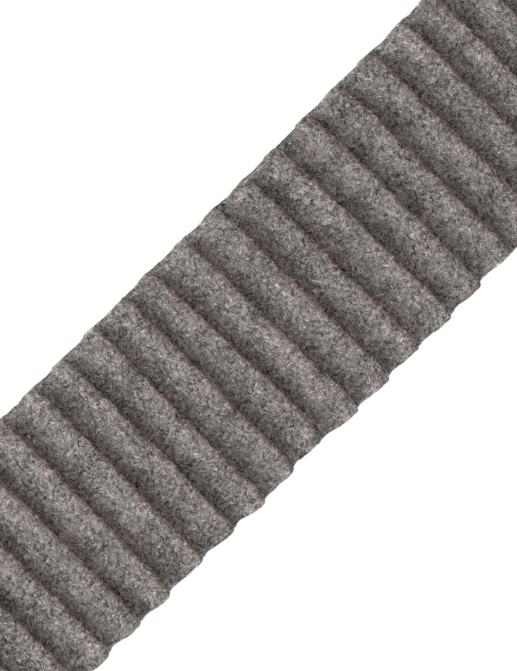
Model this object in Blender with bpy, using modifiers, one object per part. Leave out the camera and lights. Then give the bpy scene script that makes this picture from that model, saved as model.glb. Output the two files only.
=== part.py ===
"""A cut length of pleated wool trim, lying flat.

One strip of wool cloth is folded into knife pleats. +X runs along the trim, the way its folds point,
+Y runs across it to the far edge, and +Z is up. The origin is the middle of the underside.
"""

from collections import namedtuple
from math import cos, exp, pi, radians, sin

import bmesh
import bpy
from mathutils import Vector

# Sizes are in millimetres, and the model is in metres.
MM = 0.001

LENGTH = 306.4
NEAR_EDGE = -37.65
FAR_EDGE = 38.35
WIDTH = FAR_EDGE - NEAR_EDGE

CLOTH = 1.1
RELIEF = 4.7  # of a fold's crest over the flat cloth in front of it
FOLD_RADIUS = 0.65  # of both corners of the fold that shows, at the middle of the cloth
FOLD_FACE = 1.0  # the upright stretch between those corners
INNER_RADIUS = 0.7  # of the hidden fold under it
UNDERLAY = 3.6  # from the fold's face back to the middle of the hidden fold
FOOT = 0.9  # of flat cloth in front of a fold, before the next pleat rises
RISE_START = 1.2  # a pleat's slope grows by this power of the way up it
RISE_END = 5.0  # and it rounds over to its crest by this power
RETURN_SLOPE = radians(21)  # of the hidden layer that runs back under the fold

FLOOR_LAYER = CLOTH / 2
CREST = FLOOR_LAYER + RELIEF
FOLD_BACK = FOLD_RADIUS + CLOTH / 2  # from the fold's face back to the middle of its corners

EDGE_CURL = 5.0  # the folds draw back over about this distance from an edge
FAR_DIP = 0.2  # of the far edge between two folds
TOUCHING = 0.01  # points of the underside lower than this lie on the surface below

RISE_STEPS = 7
CORNER_STEPS = 2
INNER_STEPS = 3
COLUMNS = [0, 3, 10, WIDTH / 2, WIDTH - 10, WIDTH - 3, WIDTH]  # lines of points, from the near edge

# A row for each fold: where its face lies along the trim, how far its line leans towards +X from the
# far edge to the near one, how far its ends draw back at each edge, how far the far and the near edge
# reach out at the fold, and how far the near edge reaches out just in front of it.
Fold = namedtuple("Fold", "place lean far_back near_back far_reach near_reach near_front")
FOLDS = [
    Fold(-139.8, 0.2, 0.5, 0.3, 0.1, 0.5, -0.6),
    Fold(-126.3, -0.3, 0.3, 0.6, 0.2, 0.7, -0.4),
    Fold(-112.7, 0.3, 0.7, 0.2, 0.0, 0.3, -0.7),
    Fold(-99.3, 0.4, 0.4, 0.0, 0.2, 0.5, -1.0),
    Fold(-85.5, 0.5, 0.2, 0.0, 0.1, 0.4, -0.6),
    Fold(-71.9, 0.0, 0.5, 0.2, 0.1, 0.6, -0.7),
    Fold(-57.8, -0.4, 0.4, 0.9, 0.2, 0.2, -0.7),
    Fold(-44.4, -0.2, 0.4, 1.2, 0.1, 0.5, -0.6),
    Fold(-31.4, -0.1, 0.0, 0.0, 0.3, 1.0, -0.1),
    Fold(-17.9, 0.0, 0.0, 0.0, 0.2, 0.2, -1.2),
    Fold(-4.5, 0.7, 0.5, 0.5, 0.1, -0.4, -0.6),
    Fold(9.5, 0.6, 0.3, 0.9, -0.1, 1.0, -0.1),
    Fold(23.3, 0.2, 1.3, 0.3, 0.0, 0.8, -0.4),
    Fold(36.7, 0.1, 0.9, 0.3, 0.0, 0.4, -0.5),
    Fold(50.4, 0.3, 0.8, 0.0, -0.2, 0.9, -0.6),
    Fold(63.9, 0.2, 0.5, 0.2, 0.2, 0.3, -1.2),
    Fold(77.3, 0.2, 1.6, 0.4, 0.3, 0.6, -0.5),
    Fold(91.0, 0.5, 1.4, 0.2, 0.2, 0.4, -0.6),
    Fold(104.4, 0.0, 0.5, 0.5, 0.1, 0.7, -0.3),
    Fold(117.1, -0.2, 0.8, 0.1, 0.2, 0.3, -0.8),
    Fold(130.7, 0.3, 0.4, 0.6, 0.0, 0.6, -0.5),
    Fold(144.2, 0.1, 0.9, 0.3, 0.1, 0.4, -0.6),
]
CUT_START = Fold(-LENGTH / 2, 0, 0, 0, 0, 0, 0)
CUT_END = Fold(LENGTH / 2, 0, 0, 0, 0, 0, 0)

# A place along the cloth: between the fold before and this one, from 0 at the foot of the pleat to 1
# at its crest, then forward from there, its height, and its share of this fold's reach at the edges.
Station = namedtuple("Station", "before fold along forward height share")

WOOL_COLOUR = (0.17, 0.155, 0.145, 1.0)
WOOL_ROUGHNESS = 0.95


def rise_share(along):
    """How much of its height a pleat has gained, which steepens along it and levels off at the crest."""
    slope, rounding = RISE_START + 1, RISE_START + RISE_END + 1
    full = 1 / slope - 1 / rounding
    return (along ** slope / slope - along ** rounding / rounding) / full


def rising_pleat(before, fold):
    """The layer that shows, which lifts off the floor and rounds over to its crest."""
    for step in range(RISE_STEPS):
        along = step / RISE_STEPS
        rise = rise_share(along)
        yield Station(before, fold, along, 0, FLOOR_LAYER + RELIEF * rise, rise)


def corner(fold, height, start, turn):
    """One round corner of the fold that shows, about a point at this height."""
    for step in range(CORNER_STEPS + 1):
        angle = start + turn * step / CORNER_STEPS
        forward = FOLD_RADIUS * cos(angle)
        share = (1 + sin(angle)) / 2
        yield Station(fold, fold, 1, forward, height + FOLD_RADIUS * sin(angle), share)


def hidden_fold(fold):
    """The bend under the pleat, which brings the cloth back to the floor."""
    start = pi / 2 + RETURN_SLOPE
    for step in range(INNER_STEPS + 1):
        angle = start + (1.5 * pi - start) * step / INNER_STEPS
        forward = FOLD_BACK - UNDERLAY + INNER_RADIUS * cos(angle)
        height = FLOOR_LAYER + INNER_RADIUS * (1 + sin(angle))
        yield Station(fold, fold, 1, forward, height, 0)


def cloth_stations():
    """Every place along the cloth, from one cut end to the other."""
    upper = CREST - FOLD_RADIUS
    yield Station(CUT_START, CUT_START, 0, -FOOT, FLOOR_LAYER, 0)
    before = CUT_START
    for fold in FOLDS:
        yield from rising_pleat(before, fold)
        yield from corner(fold, upper, pi / 2, -pi / 2)
        yield from corner(fold, upper - FOLD_FACE, 0, RETURN_SLOPE - pi / 2)
        yield from hidden_fold(fold)
        before = fold
    yield Station(before, CUT_END, 0, 0, FLOOR_LAYER, 0)
    yield Station(CUT_END, CUT_END, 0, -FOOT, FLOOR_LAYER, 0)


def fold_line(fold, near):
    """Where a fold's face lies along X, at a distance from the near edge."""
    lean = fold.lean * (0.5 - near / WIDTH)
    near_curl = fold.near_back * exp(-near / EDGE_CURL)
    far_curl = fold.far_back * exp((near - WIDTH) / EDGE_CURL)
    return fold.place + lean - near_curl - far_curl


def cloth_point(station, near):
    """The point in the middle of the cloth at a station, and at a distance from the near edge."""
    before, fold, along = station.before, station.fold, station.along
    foot = fold_line(before, near) + FOOT
    crest = fold_line(fold, near) - FOLD_BACK
    x = foot + (crest - foot) * along + station.forward

    near_reach = before.near_front + (fold.near_reach - before.near_front) * station.share
    near_edge = NEAR_EDGE - near_reach
    far_reach = before.far_reach + (fold.far_reach - before.far_reach) * along
    far_edge = FAR_EDGE + far_reach - FAR_DIP * sin(pi * along)
    y = near_edge + (far_edge - near_edge) * near / WIDTH
    return Vector((x, y, station.height)) * MM


def pleated_sheet():
    """A grid of points laid along the folded cloth."""
    stations = list(cloth_stations())
    rows = len(stations) - 1
    columns = len(COLUMNS) - 1
    grid = bmesh.new()
    bmesh.ops.create_grid(grid, x_segments=rows, y_segments=columns, size=1.0)
    for vertex in grid.verts:
        station = stations[round((vertex.co.x + 1) / 2 * rows)]
        near = COLUMNS[round((vertex.co.y + 1) / 2 * columns)]
        vertex.co = cloth_point(station, near)
    mesh = bpy.data.meshes.new("pleated_band")
    grid.to_mesh(mesh)
    grid.free()
    return mesh


def wool_cloth():
    material = bpy.data.materials.new("wool_cloth")
    material.use_nodes = True
    shader = material.node_tree.nodes["Principled BSDF"]
    shader.inputs["Base Color"].default_value = WOOL_COLOUR
    shader.inputs["Roughness"].default_value = WOOL_ROUGHNESS
    shader.inputs["Metallic"].default_value = 0.0
    return material


def thickened(sheet):
    """The sheet's mesh with the cloth's thickness, its underside lying exactly flat where it touches."""
    body = sheet.modifiers.new("cloth thickness", "SOLIDIFY")
    body.thickness = CLOTH * MM
    body.offset = 0
    body.use_even_offset = True
    graph = bpy.context.evaluated_depsgraph_get()
    mesh = bpy.data.meshes.new_from_object(sheet.evaluated_get(graph))
    sheet.modifiers.remove(body)
    for vertex in mesh.vertices:
        if vertex.co.z < TOUCHING * MM:
            vertex.co.z = 0
    return mesh


def pleated_band(collection):
    """The whole trim: the folded sheet, given the cloth's thickness."""
    band = bpy.data.objects.new("pleated_band", pleated_sheet())
    collection.objects.link(band)
    mesh = thickened(band)
    mesh.name = "pleated_band"
    mesh.materials.append(wool_cloth())
    mesh.shade_smooth()
    mesh.set_sharp_from_angle(angle=radians(60))
    band.data = mesh
    return band


def main():
    for leftover in list(bpy.data.objects):
        bpy.data.objects.remove(leftover)
    collection = bpy.data.collections.new("pleated wool trim")
    bpy.context.scene.collection.children.link(collection)
    pleated_band(collection)


main()
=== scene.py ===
from math import cos, pi, radians, sin

import bpy
import numpy as np
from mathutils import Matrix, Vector, noise


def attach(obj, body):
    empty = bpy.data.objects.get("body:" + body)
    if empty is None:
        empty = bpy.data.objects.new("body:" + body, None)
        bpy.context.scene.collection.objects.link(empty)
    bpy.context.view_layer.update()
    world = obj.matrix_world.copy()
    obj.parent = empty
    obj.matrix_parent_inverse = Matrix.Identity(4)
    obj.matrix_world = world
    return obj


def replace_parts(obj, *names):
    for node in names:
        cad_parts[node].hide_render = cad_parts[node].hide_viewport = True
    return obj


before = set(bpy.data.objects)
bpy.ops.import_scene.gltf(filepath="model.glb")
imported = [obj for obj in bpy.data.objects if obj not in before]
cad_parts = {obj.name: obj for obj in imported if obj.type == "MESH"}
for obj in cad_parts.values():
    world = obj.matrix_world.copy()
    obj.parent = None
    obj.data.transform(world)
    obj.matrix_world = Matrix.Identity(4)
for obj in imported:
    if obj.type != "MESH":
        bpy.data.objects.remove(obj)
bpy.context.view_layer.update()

mm = 0.001
scene = bpy.context.scene


# Folded cloth, in millimetres

trim = {
    "length": 306.4,
    "nearEdge": -37.65,
    "farEdge": 38.35,
    "thickness": 1.1,
    "relief": 4.7,  # of a crest over the flat cloth in front of it
    "foldRadius": 0.72,  # of the fold's two corners, at the middle of the cloth
    "foldFace": 0.86,  # the upright stretch between them
    "innerRadius": 0.7,  # of the hidden fold
    "underlay": 3.6,  # from the fold's face back to the middle of the hidden fold
    "foot": 0.9,  # of flat cloth in front of a fold
    "riseStart": 1.2,  # a pleat steepens by this power of the way up it
    "riseEnd": 5.0,  # and levels off at its crest by this one
    "returnSlope": radians(21),
    "farCurl": 5.0,  # the folds draw back over this distance from the far edge
    "nearCurl": 3.0,  # and over this one from the near edge
    "cornerRound": 0.6,  # how far a fold's corner at an edge is rounded off
    "cornerReach": 1.4,
    "pleatRun": 11.4,  # from a pleat's foot to its crest
    "notch": 0.45,  # share of the near edge's step that the cloth in front of a fold takes up
    "notchReach": 1.3,
    "outStart": 1.5,  # in front of a fold, where the near edge starts to reach out again
    "outReach": 9.0,
    "farDip": 0.32,  # of the far edge between two folds
    "edgeWaver": 0.25,  # of both cut edges
    "edgeWaverSize": 4.0,  # in lines of points
    "edgeRound": 0.4,  # of the cut edges
    "rimLump": 0.5,  # share of that rounding
    "rimLumpSize": 0.9,
    "lumpHeight": 0.08,
    "lumpSize": 3.0,
    "wander": 0.35,  # of a fold's line
    "wanderSize": 9.0,
    "waver": 0.45,  # its smaller unevenness
    "waverSize": 2.4,
    "edgeStrip": 6.0,  # with closer lines of points along it
    "stripGrowth": 1.8,  # of their spacing
}
noiseSeeds = {"edge": 8.3, "wander": 3.1, "waver": 6.4, "lump": 5.7}
noiseSteps = {"fold": 7.3, "side": 40}  # from one fold or side to the next, so that they differ

foldColumns = "place lean bow farBack nearBack farReach farMiddle nearReach nearFront".split()
foldRows = [
    (-139.8, 0.2, 0.0, 0.5, 0.3, 0.1, 0.0, 0.5, -0.6),
    (-126.3, -0.3, 0.0, 0.3, 0.6, 0.2, 0.0, 0.7, -0.4),
    (-112.7, 0.3, 0.0, 0.7, 0.2, 0.0, 0.0, 0.3, -0.7),
    (-99.3, 0.4, 0.0, 0.4, 0.0, 0.2, 0.0, 0.5, -1.0),
    (-85.49, 0.5, 0.0, 0.2, 0.0, 0.1, 0.0, 0.4, -0.6),
    (-72.02, -0.74, 0.37, 0.5, 0.2, 0.1, 0.0, 0.6, -0.7),
    (-57.88, -0.58, 0.38, 0.4, -0.88, 0.09, 0.0, -0.19, -1.01),
    (-44.21, 0.18, 0.21, 0.4, -0.13, 0.0, -0.23, 0.16, -1.0),
    (-30.66, 0.34, -0.59, 0.0, 0.59, 0.27, -0.1, 0.66, -0.27),
    (-17.56, 0.01, 0.03, 0.0, -0.15, -0.03, 0.04, -0.02, -1.36),
    (-4.94, 2.73, 0.35, 0.5, 4.11, 0.33, 0.2, -0.7, -1.0),
    (9.3, 2.09, -0.39, 0.3, 0.61, -0.01, 0.01, 0.81, -0.17),
    (23.21, 0.87, -0.13, 1.3, 0.01, -0.1, -0.03, 0.78, -0.4),
    (36.6, 0.94, -0.47, 0.9, 0.15, -0.2, -0.1, 0.38, -0.43),
    (49.88, 1.73, 0.37, 0.8, 0.0, -0.03, -0.01, 0.68, -0.5),
    (63.36, 0.73, 0.66, 0.5, -0.84, 0.19, -0.1, 0.28, -1.21),
    (77.26, 0.84, 0.27, 1.6, 0.4, 0.3, 0.0, -0.41, -0.5),
    (91.23, 0.5, 0.0, 1.4, 0.2, 0.2, 0.0, 0.4, -0.6),
    (104.68, 0.0, 0.0, 0.5, 0.5, 0.1, 0.0, 0.7, -0.3),
    (117.1, -0.2, 0.0, 0.8, 0.1, 0.2, 0.0, 0.3, -0.8),
    (130.7, 0.3, 0.0, 0.4, 0.6, 0.0, 0.0, 0.6, -0.5),
    (144.2, 0.1, 0.0, 0.9, 0.3, 0.1, 0.0, 0.4, -0.6),
]


def readFolds():  # with the two cut ends as straight folds
    blank = (0,) * (len(foldColumns) - 1)
    start = (-trim["length"] / 2, *blank)
    end = (trim["length"] / 2, *blank)
    return [dict(zip(foldColumns, row)) for row in [start, *foldRows, end]]


folds = readFolds()
width = trim["farEdge"] - trim["nearEdge"]
floorLayer = trim["thickness"] / 2
crest = floorLayer + trim["relief"]
foldBack = trim["foldRadius"] + trim["thickness"] / 2
onFloor = floorLayer + 0.001  # the highest middle of cloth that lies down
steps = {"rise": 14, "corner": 4, "face": 2, "back": 3, "inner": 5, "floor": 3, "end": 6, "rim": 4}


def riseShare(along):  # of a pleat's height, by the way up it
    slope = trim["riseStart"] + 1
    rounding = slope + trim["riseEnd"]
    full = 1 / slope - 1 / rounding
    return (along ** slope / slope - along ** rounding / rounding) / full


def risingPleat(k):  # the layer that shows
    for i in range(steps["rise"]):
        along = i / steps["rise"]
        rise = riseShare(along)
        yield k - 1, k, along, 0, floorLayer + trim["relief"] * rise, rise


def corner(k, height, start, turn):  # one of the fold's two round corners
    for i in range(steps["corner"] + 1):
        angle = start + turn * i / steps["corner"]
        radius = trim["foldRadius"]
        yield k, k, 1, radius * cos(angle), height + radius * sin(angle), (1 + sin(angle)) / 2


def straight(k, start, end, count):  # the places between two others
    for i in range(1, count):
        part = i / count
        forward, height = (a + (b - a) * part for a, b in zip(start[3:5], end[3:5]))
        yield k, k, 1, forward, height, start[5] + (end[5] - start[5]) * part


def hiddenFold(k):  # the bend under a pleat, which brings the cloth back to the floor
    start = pi / 2 + trim["returnSlope"]
    radius = trim["innerRadius"]
    for i in range(steps["inner"] + 1):
        angle = start + (1.5 * pi - start) * i / steps["inner"]
        forward = foldBack - trim["underlay"] + radius * cos(angle)
        yield k, k, 1, forward, floorLayer + radius * (1 + sin(angle)), 0


def clothStations():  # before, fold, along, forward, height and share of the fold's reach
    upper = crest - trim["foldRadius"]
    rows = [(0, 0, 0, -trim["foot"], floorLayer, 0)]
    for k in range(1, len(folds) - 1):
        rows += risingPleat(k)
        top = list(corner(k, upper, pi / 2, -pi / 2))
        bottom = list(corner(k, upper - trim["foldFace"], 0, trim["returnSlope"] - pi / 2))
        inner = list(hiddenFold(k))
        foot = (k, k, 1, foldBack + trim["foot"], floorLayer, 0)
        rows += top + list(straight(k, top[-1], bottom[0], steps["face"])) + bottom
        rows += list(straight(k, bottom[-1], inner[0], steps["back"])) + inner
        rows += straight(k, inner[-1], foot, steps["floor"])
    last = len(folds) - 1
    rows += [(last - 1, last, i / steps["end"], 0, floorLayer, 0) for i in range(steps["end"])]
    rows.append((last, last, 0, -trim["foot"], floorLayer, 0))
    return np.array(rows, float)


def foldLine(index, near):  # where folds lie along the trim, by distance from the near edge
    value = {name: np.array([fold[name] for fold in folds])[index][:, None] for name in foldColumns}
    side = 1 - 2 * near / width
    lean = value["lean"] * side / 2 + value["bow"] * (1 - side ** 2)
    nearCurl = value["nearBack"] * np.exp(-near / trim["nearCurl"])
    farCurl = value["farBack"] * np.exp((near - width) / trim["farCurl"])
    nearRound = np.exp(-near / trim["cornerReach"])
    farRound = np.exp((near - width) / trim["cornerReach"])
    curl = nearCurl + farCurl + trim["cornerRound"] * (nearRound + farRound)
    return value["place"] + lean - curl


def smoothNoise(x, y, size, seed):
    flat = [noise.noise((a / size, b / size, seed)) for a, b in zip(x.ravel(), y.ravel())]
    return np.array(flat).reshape(x.shape)


def acrossTrim(edgeCount, middleCount):  # lines of points, closer together at the edges
    edge, strip = trim["edgeRound"], trim["edgeStrip"]
    fine = edge + (strip - edge) * np.linspace(0, 1, edgeCount) ** trim["stripGrowth"]
    middle = np.linspace(strip, width - strip, middleCount)[1:-1]
    return np.concatenate([fine, middle, width - fine[::-1]])


def aheadOfFold(stations):  # how far in front of the last fold's face a station lies
    before, fold, along, forward = stations.T[:4]
    return np.where(before != fold, trim["foot"] + along * trim["pleatRun"], forward - foldBack)


def nearShare(stations):  # of the way from the edge's innermost line to its outermost one
    before, fold, along, forward, height, share = stations.T
    ahead = aheadOfFold(stations)
    notch = trim["notch"] * np.exp(-(ahead / trim["notchReach"]) ** 2)
    part = ((ahead - trim["outStart"]) / trim["outReach"]).clip(0, 1)
    outward = (1 - np.cos(pi * part)) / 2
    share = np.where(height <= onFloor, notch, share)
    return np.where(before != fold, notch + outward, share)[:, None]


def clothMiddle(stations, near):  # points in the middle of the cloth's thickness
    before, fold = stations[:, 0].astype(int), stations[:, 1].astype(int)
    along, forward, height = (stations[:, i][:, None] for i in range(2, 5))
    foot = foldLine(before, near) + trim["foot"]
    x = foot + (foldLine(fold, near) - foldBack - foot) * along + forward

    def column(name, index):
        return np.array([row[name] for row in folds])[index][:, None]

    nearReach = column("nearFront", before)
    nearReach = nearReach + (column("nearReach", fold) - nearReach) * nearShare(stations)
    farReach = column("farReach", before)
    farReach = farReach + (column("farReach", fold) - farReach) * along
    order = np.arange(len(stations))[:, None]
    waver = trim["edgeWaver"] * smoothNoise(order, order * 0, trim["edgeWaverSize"], noiseSeeds["edge"])
    nearEdge = trim["nearEdge"] - nearReach + waver
    farDip = trim["farDip"] - column("farMiddle", fold)
    farEdge = trim["farEdge"] + farReach - farDip * np.sin(pi * along) + waver
    y = nearEdge + (farEdge - nearEdge) * near / width
    row = fold[:, None] * noiseSteps["fold"] + 0 * y
    shift = trim["wander"] * smoothNoise(row, y, trim["wanderSize"], noiseSeeds["wander"])
    shift += trim["waver"] * smoothNoise(row, y, trim["waverSize"], noiseSeeds["waver"])
    lifted = np.clip((height - floorLayer) / trim["relief"], 0, 1)
    return np.stack([x + shift * lifted, y, height + 0 * y], axis=-1)


def sectionNormals(middle):
    run = np.gradient(middle, axis=0)
    normal = np.stack([-run[..., 2], 0 * run[..., 0], run[..., 0]], axis=-1)
    return normal / np.linalg.norm(normal, axis=-1, keepdims=True)


def clothLength(middle):
    run = np.diff(middle[:, middle.shape[1] // 2], axis=0)
    return np.concatenate([[0], np.cumsum(np.hypot(run[:, 0], run[:, 2]))])


def clothSide(side, near):  # 1 for the face, -1 for the back
    middle = clothMiddle(stations, near[None, :])
    lay = np.broadcast_to(lengthAlong[:, None], middle.shape[:2])
    lay = lay + noiseSteps["side"] * side
    lump = smoothNoise(lay, middle[..., 1], trim["lumpSize"], noiseSeeds["lump"])
    free = middle[..., 2] > floorLayer + 0.05  # off the surface that the trim lies on
    depth = trim["thickness"] / 2 + trim["lumpHeight"] * lump * (free | (side > 0))
    return middle + sectionNormals(middle) * (side * depth)[..., None]


def cutEdge(near, outward):  # the rounded rim between the face and the back
    middle = clothMiddle(stations, np.array([[near]]))
    normals = sectionNormals(middle)
    points = []
    lay = lengthAlong[:, None]
    for angle in np.linspace(pi / 2, -pi / 2, steps["rim"] + 2)[1:-1]:
        shift = normals * trim["thickness"] / 2 * sin(angle)
        lump = smoothNoise(lay, 0 * lay + angle, trim["rimLumpSize"], near)
        shift[..., 1] += outward * trim["edgeRound"] * cos(angle) * (1 + trim["rimLump"] * lump)
        points.append(middle + shift)
    return np.concatenate(points, axis=1)


picture = {  # shares of the side of the picture that a material is baked on
    "side": 0.01,
    "foot": 0.005,
    "fill": 0.98,
    "ends": 0.992,
    "endDepth": 0.004,
    "length": 312,  # millimetres that the picture of the fibres holds
    "width": 160,
}


def addShade(mesh, shade):  # painted groove shade and painted fold light, for every point
    for name, values in zip(("groove", "fold"), shade.reshape(-1, shade.shape[-1]).T):
        layer = mesh.attributes.new(name, "FLOAT", "POINT")
        layer.data.foreach_set("value", values.astype(np.float32))


def addBakeMap(mesh, spots):  # spots in a picture of the unfolded cloth, for every corner of a face
    layer = mesh.uv_layers.new(name="OFBake")
    layer.data.foreach_set("uv", spots.astype(np.float32).ravel())


def clothSpots():  # the face's two halves side by side, then the back's, with the ends above
    rim = width + trim["thickness"] * np.arange(1, steps["rim"] + 1) / 3
    full = width + trim["thickness"] * (steps["rim"] + 1) / 3
    strips = [np.concatenate([faceNear, rim]), np.concatenate([width - backNear[::-1], rim])]
    start = np.concatenate(strips) / full
    end = np.concatenate([np.append(strip[1:], full) for strip in strips]) / full
    onBack = np.arange(len(start)) >= len(strips[0])
    cut = int(np.searchsorted(lengthAlong, lengthAlong[-1] / 2))
    second = np.arange(len(lengthAlong) - 1) >= cut
    base = np.where(second, lengthAlong[cut], 0)
    span = np.where(second, lengthAlong[-1] - lengthAlong[cut], lengthAlong[cut])
    low, high = (lengthAlong[:-1] - base) / span, (lengthAlong[1:] - base) / span
    column = onBack[None, :] * 2 + second[:, None]

    def corners(across, up):
        u = (column + picture["side"] + picture["fill"] * across[None, :]) / 4
        return np.stack([u, picture["foot"] + picture["fill"] * up[:, None] + 0 * u], axis=-1)

    quads = [corners(start, low), corners(start, high), corners(end, high), corners(end, low)]
    across = (picture["side"] + picture["fill"] * ringNear / width) / 4
    firstEnd = np.stack([across, picture["ends"] + picture["endDepth"] * onBack], axis=-1)
    lastEnd = firstEnd[::-1] + (0.25, 0)
    return np.concatenate([np.stack(quads, axis=2).reshape(-1, 2), firstEnd, lastEnd])


def gridMesh(name, points):
    rows, columns = points.shape[:2]
    index = np.arange(rows * columns).reshape(rows, columns)
    nextColumn = np.roll(index, -1, axis=1)
    quads = np.stack([index[:-1], index[1:], nextColumn[1:], nextColumn[:-1]], axis=-1)
    faces = quads.reshape(-1, 4).tolist()
    faces.append(index[0].tolist())
    faces.append(index[-1][::-1].tolist())
    mesh = bpy.data.meshes.new(name)
    mesh.from_pydata((points.reshape(-1, 3) * mm).tolist(), [], faces)
    mesh.shade_smooth()
    piece = bpy.data.objects.new(name, mesh)
    scene.collection.objects.link(piece)
    return piece


stations = clothStations()
faceNear = acrossTrim(edgeCount=11, middleCount=72)
backNear = acrossTrim(edgeCount=5, middleCount=12)
lengthAlong = clothLength(clothMiddle(stations, faceNear[None, :]))
face, back = clothSide(1, faceNear), clothSide(-1, backNear)
nearEnds, farEnds = faceNear[:1].repeat(steps["rim"]), faceNear[-1:].repeat(steps["rim"])
ringNear = np.concatenate([faceNear, farEnds, backNear[::-1], nearEnds])
nearRim, farRim = cutEdge(faceNear[0], -1), cutEdge(faceNear[-1], 1)
loop = np.concatenate([face, farRim, back[:, ::-1], nearRim[:, ::-1]], axis=1)
band = gridMesh("wool_band", loop)
addBakeMap(band.data, clothSpots())
print("cloth", len(band.data.vertices), "points")
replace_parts(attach(band, "root"), "pleated_band")


# Tufts and loose fibres of wool, felted into both sides

fibres = {
    "seed": 7,
    "margin": 0.05,  # kept from the cut edges
    "foldDepth": 1.1,  # of the crest that carries fuzz
    "foldStart": 0.9,  # part of the way up a pleat
    "backShown": 0.6,  # part of a pleat's slope that carries fibres on its back
    "meanLift": 0.6,  # share of a kind's lift
    "liftSpread": 0.5,
    "lowestLift": -0.5,
    "highestLift": 3,
    "bendShare": 0.6,  # of a kind's bend, for its steady turn and for each point
    "roughness": 0.8,
    "specular": 0.2,
    "tufts": {
        "shares": (0.26, 0.22, 0.20, 0.22, 0.10),  # of the kinds below
        "onFace": 17000,
        "onBack": 2500,
        "points": 5,
        "length": (1.0, 2.6),
        "radius": (0.09, 0.18),
        "lift": 0.05,  # of the middle of a tuft
        "sink": 0.12,  # of its ends
        "bend": 0.6,  # radians from point to point
        "spread": pi,  # to both sides of the direction across the trim
    },
    "hairs": {
        "shares": (0.14, 0.17, 0.16, 0.36, 0.17),
        "onFace": 11000,
        "onBack": 2500,
        "points": 6,
        "length": (2.5, 6.0),
        "radius": (0.055, 0.09),
        "lift": 0.14,
        "sink": 0.05,
        "bend": 0.5,
        "spread": pi,
    },
    "fuzz": {  # on the folds
        "shares": (0.30, 0.10, 0.10, 0, 0.50),
        "onFold": 5200,
        "points": 4,
        "length": (0.9, 2.0),
        "radius": (0.045, 0.08),
        "lift": 0.3,
        "sink": 0.05,
        "bend": 0.5,
        "spread": pi,
    },
    "strays": {
        "shares": (0.75, 0, 0, 0, 0.25),
        "onFace": 90,
        "onBack": 12,
        "points": 12,
        "length": (6.0, 14.0),
        "radius": (0.05, 0.08),
        "lift": 0.35,
        "sink": 0.05,
        "bend": 0.32,
        "spread": 0.7,
    },
    "kinds": {
        "pale": (0.50, 0.456, 0.437),
        "silver": (0.27, 0.247, 0.237),
        "grey": (0.133, 0.122, 0.117),
        "dark": (0.024, 0.022, 0.0225),
        "brown": (0.165, 0.118, 0.094),
    },
}
chance = np.random.default_rng(fibres["seed"])


def shownRows(side):  # places along the cloth that aren't inside a fold
    before, fold, along, forward, height = stations.T[:5]
    rising = before != fold
    floor = height <= onFloor
    if side < 0:
        return rising & (along < fibres["backShown"]) | floor
    low = crest - 2 * trim["foldRadius"] - trim["foldFace"]
    inFront = floor & (forward > foldBack - 0.4)
    return rising | inFront | (height > low) & (forward >= -0.001)


def crestRows():  # where fuzz grows
    before, fold, along, forward, height = stations.T[:5]
    return (height > crest - fibres["foldDepth"]) & ((before == fold) | (along > fibres["foldStart"]))


paintedShading = {  # painted shade that darkens the grooves, and painted light that makes the wool paler towards the cut edges
    "grooveStart": 0.6,  # in front of a fold
    "grooveReach": 2.6,
    "edgeReach": 5.0,
    "nearOpen": 0.8,  # share of the groove's shade that is lost at an edge
    "farOpen": 0.75,
    # painted light on the first part of each pleat in front of a fold, near the near edge
    "nearPaintedLight": 0.65,
    "paintedLightReach": 9,
    "rim": 1.2,  # painted light on the cut edges' rims
    "rimReach": 0.7,
    "foldPlace": 1.4,  # below the crest, the middle of the fold's face, where its painted light and warm tint lie
    "foldReach": 1.1,
}


def woolShade(near):  # painted shade in the grooves, weaker at the cut edges and turned to painted light there, and where the fold's face gets painted light, all over the cloth
    before, fold, along, forward, height = stations.T[:5]
    ahead = aheadOfFold(stations).clip(0, None)
    shown = (before != fold) | (forward > foldBack - 0.1)
    low = ((crest - height) / trim["relief"]).clip(0, 1)
    groove = np.exp(-((ahead - paintedShading["grooveStart"]) / paintedShading["grooveReach"]) ** 2)
    depth = np.where(shown, groove, 1) * low ** 0.5
    nearEdge = np.exp(-near / paintedShading["edgeReach"])
    farEdge = np.exp((near - width) / paintedShading["edgeReach"])
    paintedLight = (1 - (ahead / paintedShading["paintedLightReach"]).clip(0, 1) ** 2) * shown
    depth = depth[:, None] * (1 - paintedShading["nearOpen"] * nearEdge - paintedShading["farOpen"] * farEdge)
    depth = depth - paintedShading["nearPaintedLight"] * paintedLight[:, None] * nearEdge
    depth = depth - paintedShading["rim"] * np.exp(-np.minimum(near, width - near) / paintedShading["rimReach"])
    below = (crest - paintedShading["foldPlace"] - height) / paintedShading["foldReach"]
    fold = np.exp(-below ** 2) * ((before == fold) & (forward > 0))
    return np.stack([depth, fold[:, None] + 0 * depth], axis=-1)


def surfacePoint(grid, near, lay, across, lift):  # by the way along and across the cloth
    row = np.interp(lay, lengthAlong, np.arange(len(lengthAlong)))
    column = np.interp(across, near, np.arange(len(near)))
    i = np.clip(row.astype(int), 0, len(lengthAlong) - 2)
    j = np.clip(column.astype(int), 0, len(near) - 2)
    a, b = (row - i)[..., None], (column - j)[..., None]
    point = (grid[i, j] * (1 - a) + grid[i + 1, j] * a) * (1 - b)
    point = point + (grid[i, j + 1] * (1 - a) + grid[i + 1, j + 1] * a) * b
    tangent = grid[i + 1, j] - grid[i, j]
    normal = np.stack([-tangent[..., 2], 0 * tangent[..., 1], tangent[..., 0]], axis=-1)
    normal /= np.linalg.norm(normal, axis=-1, keepdims=True) + 1e-9
    return point + normal * lift[..., None], normal


def shadeAt(lay, across):
    row = np.interp(lay, lengthAlong, np.arange(len(lengthAlong))).round().astype(int)
    column = np.interp(across, faceNear, np.arange(len(faceNear))).round().astype(int)
    return faceShade[row, column]


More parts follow.
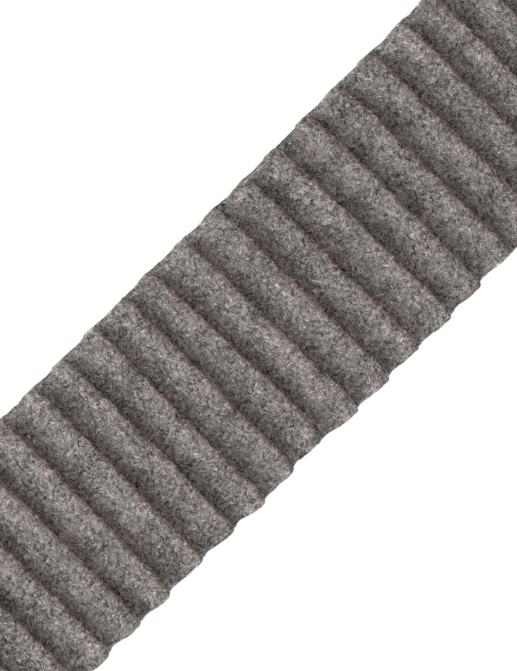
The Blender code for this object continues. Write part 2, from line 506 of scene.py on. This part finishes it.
def fibrePaths(kind, count, side, grid, near, shown):  # bent lines that lie on the cloth
    reach = np.diff(lengthAlong) * (shown[:-1] & shown[1:])
    total = np.concatenate([[0], np.cumsum(reach)])
    lay = np.interp(chance.uniform(0, total[-1], count), total, lengthAlong)
    low, high = fibres["margin"], width - fibres["margin"]
    across = chance.uniform(low, high, count)
    stops = kind["points"]
    bend = kind["bend"] * fibres["bendShare"]
    length = chance.uniform(*kind["length"], count)
    turn = chance.normal(0, bend, count)[:, None]
    heading = pi / 2 + chance.uniform(-1, 1, count) * kind["spread"]
    angle = heading[:, None] + turn * np.arange(stops)
    angle = angle + np.cumsum(chance.normal(0, bend, (count, stops)), axis=1)
    stride = (length / (stops - 1))[:, None]
    lay = lay[:, None] + np.cumsum(np.cos(angle) * stride, axis=1)
    across = across[:, None] + np.cumsum(np.sin(angle) * stride, axis=1)
    across = np.clip(across, low, high)
    arch = np.sin(pi * np.arange(stops) / (stops - 1))
    lift = chance.normal(fibres["meanLift"], fibres["liftSpread"], count)
    lift = lift.clip(fibres["lowestLift"], fibres["highestLift"])[:, None] * kind["lift"]
    lift = arch * (lift + kind["sink"]) - kind["sink"]
    points, normal = surfacePoint(grid, near, lay, across, side * lift)
    # the painted shade and light of the cloth under the fibre's start
    shade = shadeAt(lay[:, 0], across[:, 0])
    return points, normal, np.column_stack([shade, np.full(count, side < 0)])


def tubes(paths, normals, radius, shade):  # three-sided strands, pointed at both ends
    count, stops = paths.shape[:2]
    along = np.gradient(paths, axis=1)
    along /= np.linalg.norm(along, axis=-1, keepdims=True) + 1e-9
    sideways = np.cross(normals, along)
    sideways /= np.linalg.norm(sideways, axis=-1, keepdims=True) + 1e-9
    up = np.cross(along, sideways)
    rings = []
    for angle in (pi / 2, pi / 2 + 2 * pi / 3, pi / 2 + 4 * pi / 3):
        spoke = sideways * cos(angle) + up * sin(angle)
        rings.append(paths[:, 1:-1] + spoke[:, 1:-1] * radius[:, None, None])
    middle = stops - 2
    ring = np.stack(rings, axis=2).reshape(count, 3 * middle, 3)
    points = np.concatenate([paths[:, :1], ring, paths[:, -1:]], axis=1)
    last = 1 + 3 * middle
    pattern = []
    for side in range(3):
        other = (side + 1) % 3
        pattern.append((0, 1 + other, 1 + side))
        pattern.append((last, last - 3 + side, last - 3 + other))
        for i in range(middle - 1):
            a, b = 1 + 3 * i + side, 1 + 3 * i + other
            pattern += [(a, b, b + 3), (a, b + 3, a + 3)]
    faces = np.array(pattern)[None] + (np.arange(count) * (last + 1))[:, None, None]
    return points.reshape(-1, 3), faces.reshape(-1, 3), np.repeat(shade, last + 1, axis=0)


def triangleMesh(name, groups):
    starts = np.cumsum([0] + [len(group[0]) for group in groups])
    points = np.concatenate([group[0] for group in groups])
    faces = np.concatenate([group[1] + start for group, start in zip(groups, starts)])
    mesh = bpy.data.meshes.new(name)
    mesh.vertices.add(len(points))
    mesh.vertices.foreach_set("co", (points * mm).astype(np.float32).ravel())
    mesh.loops.add(faces.size)
    mesh.loops.foreach_set("vertex_index", faces.astype(np.int32).ravel())
    mesh.polygons.add(len(faces))
    mesh.polygons.foreach_set("loop_start", np.arange(0, faces.size, 3, dtype=np.int32))
    mesh.update(calc_edges=True)
    mesh.shade_smooth()
    shade = np.concatenate([group[2] for group in groups])
    # the fibres carry the cloth's painted shade and light
    addShade(mesh, shade)
    level = 0.5 + points[:, 0] / picture["length"]
    upright = 0.25 + points[:, 1] / picture["width"] + shade[:, 2] / 2  # the back's fibres above
    addBakeMap(mesh, np.stack([level, upright], axis=-1)[faces.ravel()])
    piece = bpy.data.objects.new(name, mesh)
    scene.collection.objects.link(piece)
    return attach(piece, "root")


def woolStrands(kind):
    parts = []
    if "onFold" in kind:
        parts.append(fibrePaths(kind, kind["onFold"], 1, face, faceNear, crestRows()))
    if "onFace" in kind:
        parts.append(fibrePaths(kind, kind["onFace"], 1, face, faceNear, shownRows(1)))
        parts.append(fibrePaths(kind, kind["onBack"], -1, back, backNear, shownRows(-1)))
    paths, normals, depth = (np.concatenate(values) for values in zip(*parts))
    radius = chance.uniform(*kind["radius"], len(paths))
    lowest = radius[:, None] + 0 * paths[..., 2]
    paths[..., 2] = np.maximum(paths[..., 2], lowest)
    return paths, normals, radius, depth


def addFibres():
    kinds = fibres["kinds"]
    groups = {kind: [] for kind in kinds}
    for name in ("tufts", "hairs", "fuzz", "strays"):
        strands = woolStrands(fibres[name])
        pick = chance.choice(len(kinds), len(strands[0]), p=fibres[name]["shares"])
        for i, kind in enumerate(kinds):
            groups[kind].append(tubes(*(values[pick == i] for values in strands)))
    pieces = {}
    for kind in kinds:
        pieces[kind] = triangleMesh(kind + "_wool_fibres", groups[kind])
        print(pieces[kind].name, len(pieces[kind].data.polygons), "triangles")
    return pieces


# painted shade and light for the cloth and for the fibres on it
faceShade = woolShade(faceNear)
addShade(band.data, woolShade(ringNear))
fibrePieces = addFibres()


# Shader maths

class Wire:
    def __init__(self, nodes, socket):
        self.nodes, self.socket = nodes, socket

    def math(self, operation, first, second):
        return self.nodes.add("ShaderNodeMath", {"operation": operation}, [first, second])

    def __add__(self, other):
        return self.math("ADD", self, other)

    def __radd__(self, other):
        return self.math("ADD", other, self)

    def __sub__(self, other):
        return self.math("SUBTRACT", self, other)

    def __rsub__(self, other):
        return self.math("SUBTRACT", other, self)

    def __mul__(self, other):
        return self.math("MULTIPLY", self, other)

    def __rmul__(self, other):
        return self.math("MULTIPLY", other, self)


class NodeSheet:
    def __init__(self, name):
        self.material = bpy.data.materials.new(name)
        self.material.use_nodes = True
        self.tree = self.material.node_tree
        self.shader = self.tree.nodes["Principled BSDF"]

    def add(self, kind, settings, values, output=0):  # values by socket name, or in order
        node = self.tree.nodes.new(kind)
        for key, value in settings.items():
            setattr(node, key, value)
        pairs = values.items() if isinstance(values, dict) else enumerate(values)
        for key, value in pairs:
            self.feed(node.inputs[key], value)
        return Wire(self, node.outputs[output])

    def feed(self, socket, value):
        if isinstance(value, Wire):
            self.tree.links.new(value.socket, socket)
        else:
            socket.default_value = value

    def noise(self, place, perMm, detail, output, roughness):
        values = {"Vector": place, "Scale": perMm / mm, "Detail": detail, "Roughness": roughness}
        return self.add("ShaderNodeTexNoise", {}, values, output)

    def ramp(self, value, low, high):
        values = {"Value": value, "From Min": low, "From Max": high}
        return self.add("ShaderNodeMapRange", {"clamp": True}, values)

    def mix(self, amount, first, second):
        settings = {"data_type": "RGBA"}
        values = {"Factor": amount, 6: (*first, 1), 7: (*second, 1)}
        return self.add("ShaderNodeMix", settings, values, 2)

    def tinted(self, amount, colour, tint):
        settings = {"data_type": "RGBA", "blend_type": "MULTIPLY", "clamp_factor": True}
        colour = colour if isinstance(colour, Wire) else (*colour, 1)
        return self.add("ShaderNodeMix", settings, {"Factor": amount, 6: colour, 7: (*tint, 1)}, 2)

    def scaled(self, colour, amount):
        return self.add("ShaderNodeVectorMath", {"operation": "SCALE"}, {0: colour, "Scale": amount})


wool = {
    "warm": (0.184, 0.157, 0.1435),
    "cool": (0.156, 0.153, 0.1505),
    # a warm tint painted on the fold's shaded face and deep in the grooves, for the warm light that
    # bounces in the shade
    "paintedShadeTint": (1.0, 0.84, 0.79),
    "foldPaintedWarmth": 1.0,
    "groovePaintedWarmth": 0.5,
    "fleck": 3.1,  # contrast of the mottling
    "patch": 1.25,  # of the larger patches
    "thread": 5.0,  # of the fine grain
    "fleckHeight": 0.8,
    "threadHeight": 0.3,
    "grooveShade": 0.22,  # painted shade just in front of a fold
    "foldPaintedLight": 0.2,  # painted light on the fold's shaded face
    "fleckNoise": (0.75, 3, "Fac", 0.65),  # features a millimetre, detail, output, roughness
    "patchNoise": (0.14, 2, "Fac", 0.5),
    "threadNoise": (3.2, 2, "Fac", 0.6),
    "tintNoise": (0.5, 3, "Fac", 0.6),
    "tintRange": (0.3, 0.7),
    "roughness": 0.95,
    "specular": 0.15,
}


def woolTone(sheet, place, flecks):
    patches = sheet.noise(place, *wool["patchNoise"])
    tone = 1 + (flecks - 0.5) * wool["fleck"] + (patches - 0.5) * wool["patch"]
    # painted shade in the grooves, painted light at the cut edges and on the fold's face
    depth = sheet.add("ShaderNodeAttribute", {"attribute_name": "groove"}, [], "Fac")
    fold = sheet.add("ShaderNodeAttribute", {"attribute_name": "fold"}, [], "Fac")
    tone = tone * (1 - depth * wool["grooveShade"] + fold * wool["foldPaintedLight"])
    # how much of the warm tint is painted into the shade
    brown = fold * wool["foldPaintedWarmth"] + depth * wool["groovePaintedWarmth"]
    return tone, brown


def paintedWarmShade(sheet, colour, brown):  # painted warm tint on the fold's shaded face and deep in a groove
    return sheet.tinted(brown, colour, wool["paintedShadeTint"])


def feltMaterial():
    sheet = NodeSheet("felted_wool")
    shader = sheet.shader
    shader.inputs["Roughness"].default_value = wool["roughness"]
    shader.inputs["Specular IOR Level"].default_value = wool["specular"]
    place = sheet.add("ShaderNodeTexCoord", {}, [], "Object")
    flecks = sheet.noise(place, *wool["fleckNoise"])
    tone, brown = woolTone(sheet, place, flecks)
    threads = sheet.noise(place, *wool["threadNoise"])
    tint = sheet.noise(place, *wool["tintNoise"])
    tone = tone + (threads - 0.5) * wool["thread"]
    colour = sheet.mix(sheet.ramp(tint, *wool["tintRange"]), wool["cool"], wool["warm"])
    colour = paintedWarmShade(sheet, sheet.scaled(colour, tone), brown)
    sheet.feed(shader.inputs["Base Color"], colour)
    height = flecks * wool["fleckHeight"] + threads * wool["threadHeight"]
    bump = sheet.add("ShaderNodeBump", {}, {"Height": height * mm, "Strength": 1.0, "Distance": 1.0})
    sheet.feed(shader.inputs["Normal"], bump)
    return sheet.material


def fibreMaterial(kind, colour):
    sheet = NodeSheet(kind + "_wool")
    shader = sheet.shader
    shader.inputs["Roughness"].default_value = fibres["roughness"]
    shader.inputs["Specular IOR Level"].default_value = fibres["specular"]
    place = sheet.add("ShaderNodeTexCoord", {}, [], "Object")
    tone, brown = woolTone(sheet, place, sheet.noise(place, *wool["fleckNoise"]))
    sheet.feed(shader.inputs["Base Color"], paintedWarmShade(sheet, sheet.scaled(colour, tone), brown))
    return sheet.material


band.data.materials.append(feltMaterial())
for kind, piece in fibrePieces.items():
    piece.data.materials.append(fibreMaterial(kind, fibres["kinds"][kind]))
print("materials ready")


# Stage, light and camera

view = {
    "angle": radians(44.82),  # of the trim, above the picture's level
    "centre": (3.30, 0.10, 4.0),
    "scale": 0.3115,  # millimetres to a pixel
    "pixels": (517, 671),
    "distance": 1.5,
    "sensor": 36,
    "farthest": 20,
}
light = {
    "keyHeight": radians(22),
    "keyDistance": 1.2,
    "keySize": 0.7,
    "keyPower": 17.5,
    "fill": 1.125,
    "floor": 0.9,
    "floorRoughness": 0.9,
    "floorGlow": 0.35,  # which keeps shadows pale
    "floorSize": 4,
    "floorDrop": 0.00005,  # metres below the trim's underside
}


def lookAlong(obj, direction):
    obj.rotation_euler = Vector(direction).to_track_quat("-Z", "Y").to_euler()


def addFloor():
    sheet = NodeSheet("pale_floor")
    sheet.feed(sheet.shader.inputs["Base Color"], (light["floor"],) * 3 + (1,))
    sheet.shader.inputs["Roughness"].default_value = light["floorRoughness"]
    sheet.shader.inputs["Emission Color"].default_value = (1, 1, 1, 1)
    sheet.shader.inputs["Emission Strength"].default_value = light["floorGlow"]
    place = (0, 0, -light["floorDrop"])
    bpy.ops.mesh.primitive_plane_add(size=light["floorSize"], location=place)
    floor = bpy.context.object
    floor.name = "floor"
    floor.data.materials.append(sheet.material)


def addLights():
    turn = view["angle"]
    level = Vector((-cos(turn), sin(turn), 0))  # the picture's left
    toKey = level * cos(light["keyHeight"]) + Vector((0, 0, sin(light["keyHeight"])))
    lamp = bpy.data.lights.new("key", "AREA")
    lamp.shape = "DISK"
    lamp.size = light["keySize"]
    lamp.energy = light["keyPower"]
    key = bpy.data.objects.new("key", lamp)
    key.location = toKey * light["keyDistance"]
    lookAlong(key, -toKey)
    scene.collection.objects.link(key)
    world = bpy.data.worlds.new("studio")
    world.use_nodes = True
    world.node_tree.nodes["Background"].inputs["Strength"].default_value = light["fill"]
    world.node_tree.nodes["Background"].inputs["Color"].default_value = (1, 1, 1, 1)
    scene.world = world
    scene.view_settings.view_transform = "Standard"


def addCamera():
    lens = bpy.data.cameras.new("camera")
    lens.sensor_fit = "VERTICAL"
    lens.sensor_height = view["sensor"]
    height = view["pixels"][1] * view["scale"] * mm
    lens.lens = lens.sensor_height * view["distance"] / height
    lens.clip_end = view["farthest"]
    camera = bpy.data.objects.new("camera", lens)
    x, y, z = (value * mm for value in view["centre"])
    camera.location = (x, y, z + view["distance"])
    camera.rotation_euler = (0, 0, -view["angle"])
    scene.collection.objects.link(camera)
    scene.camera = camera


addFloor()
addLights()
addCamera()
print("stage ready")
